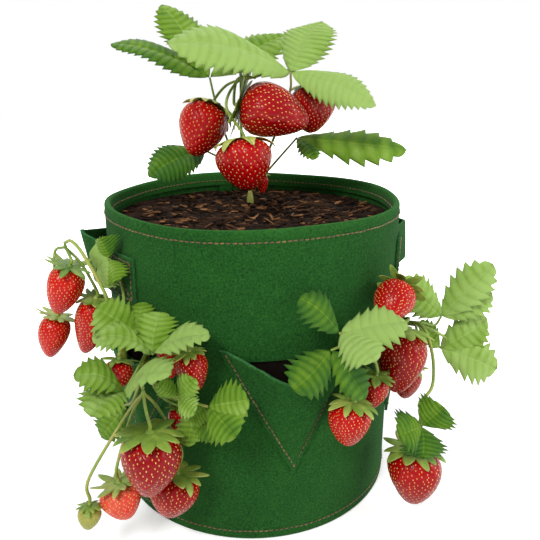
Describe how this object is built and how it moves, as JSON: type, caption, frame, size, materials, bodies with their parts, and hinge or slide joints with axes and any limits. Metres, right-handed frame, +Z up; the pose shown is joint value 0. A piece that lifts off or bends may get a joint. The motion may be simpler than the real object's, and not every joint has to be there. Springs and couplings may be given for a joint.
{
  "type": "planted felt grow bag",
  "caption": "Round felt grow bag with V-shaped side pockets and two strap handles, filled with soil and planted with fruiting strawberries at the top and in the pockets.",
  "frame": {"origin": "centre of the bag's underside, on the floor", "axes": "+Z up; -Y out of the empty front pocket; +X and -X towards the two handles"},
  "size_m": [0.4526, 0.3614, 0.4983],
  "materials": {
    "felt": "matte",
    "thread": "matte",
    "soil": "matte",
    "leaf_dark": "satin",
    "leaf_pale": "satin",
    "stalk": "satin",
    "calyx": "matte",
    "berry": "gloss"
  },
  "bodies": {
    "bag": {"back_seam_stitching": "thread", "back_seam_strip": "felt", "bag_base": "felt", "bag_wall": "felt", "base_stitching": "thread", "handle_left_ends": "felt", "handle_left_stitching": "thread", "handle_right_ends": "felt", "handle_right_stitching": "thread", "left_berries": "berry", "left_calyxes": "calyx", "left_leaf_back": "leaf_dark", "left_leaf_front": "leaf_dark", "left_leaf_hanging": "leaf_dark", "left_leaf_high": "leaf_pale", "left_leaf_low": "leaf_dark", "left_leaf_right": "leaf_dark", "left_leaf_small": "leaf_dark", "left_stalks": "stalk", "pocket_front": "felt", "pocket_front_left": "felt", "pocket_front_right": "felt", "pocket_rear_left": "felt", "pocket_rear_right": "felt", "pocket_soil": "soil", "pocket_stitching": "thread", "right_berries": "berry", "right_calyxes": "calyx", "right_leaf_far": "leaf_pale", "right_leaf_high": "leaf_pale", "right_leaf_left": "leaf_dark", "right_leaf_pocket": "leaf_dark", "right_stalks": "stalk", "rim_stitching": "thread", "side_leaf": "leaf_pale", "side_stalks": "stalk", "soil": "soil", "top_berries": "berry", "top_calyxes": "calyx", "top_leaf_dark": "leaf_dark", "top_leaf_low": "leaf_dark", "top_leaf_pale": "leaf_pale", "top_leaf_right": "leaf_dark", "top_stalks": "stalk"},
    "handle_left": {"handle_left": "felt"},
    "handle_right": {"handle_right": "felt"},
    "top_truss": {"top_truss_berries": "berry", "top_truss_calyxes": "calyx", "top_truss_stalks": "stalk"},
    "left_truss": {"left_truss_berries": "berry", "left_truss_calyxes": "calyx", "left_truss_stalks": "stalk"},
    "side_truss": {"side_truss_berries": "berry", "side_truss_calyxes": "calyx", "side_truss_stalks": "stalk"},
    "right_truss": {"right_truss_berries": "berry", "right_truss_calyxes": "calyx", "right_truss_leaf": "leaf_dark", "right_truss_stalks": "stalk"}
  },
  "joints": [
    {"name": "handle_left_swing", "type": "hinge", "parent": "bag", "child": "handle_left", "pos_m": [-0.152, 0, 0.272], "axis": [0, 1, 0], "range_deg": [0, 80]},
    {"name": "handle_right_swing", "type": "hinge", "parent": "bag", "child": "handle_right", "pos_m": [0.152, 0, 0.272], "axis": [0, -1, 0], "range_deg": [0, 80]},
    {"name": "top_truss_sway", "type": "hinge", "parent": "bag", "child": "top_truss", "pos_m": [0.005, 0.006, 0.428], "axis": [0, -1, 0], "range_deg": [-5, 5]},
    {"name": "left_truss_sway", "type": "hinge", "parent": "bag", "child": "left_truss", "pos_m": [-0.13041, -0.15612, 0.1847], "axis": [-0.866, -0.5, 0], "range_deg": [-6, 6]},
    {"name": "side_truss_sway", "type": "hinge", "parent": "bag", "child": "side_truss", "pos_m": [-0.18568, -0.0564, 0.2847], "axis": [-0.866, -0.5, 0], "range_deg": [-5, 5]},
    {"name": "right_truss_sway", "type": "hinge", "parent": "bag", "child": "right_truss", "pos_m": [0.12472, -0.15399, 0.1307], "axis": [0.866, -0.5, 0], "range_deg": [-6, 6]}
  ]
}
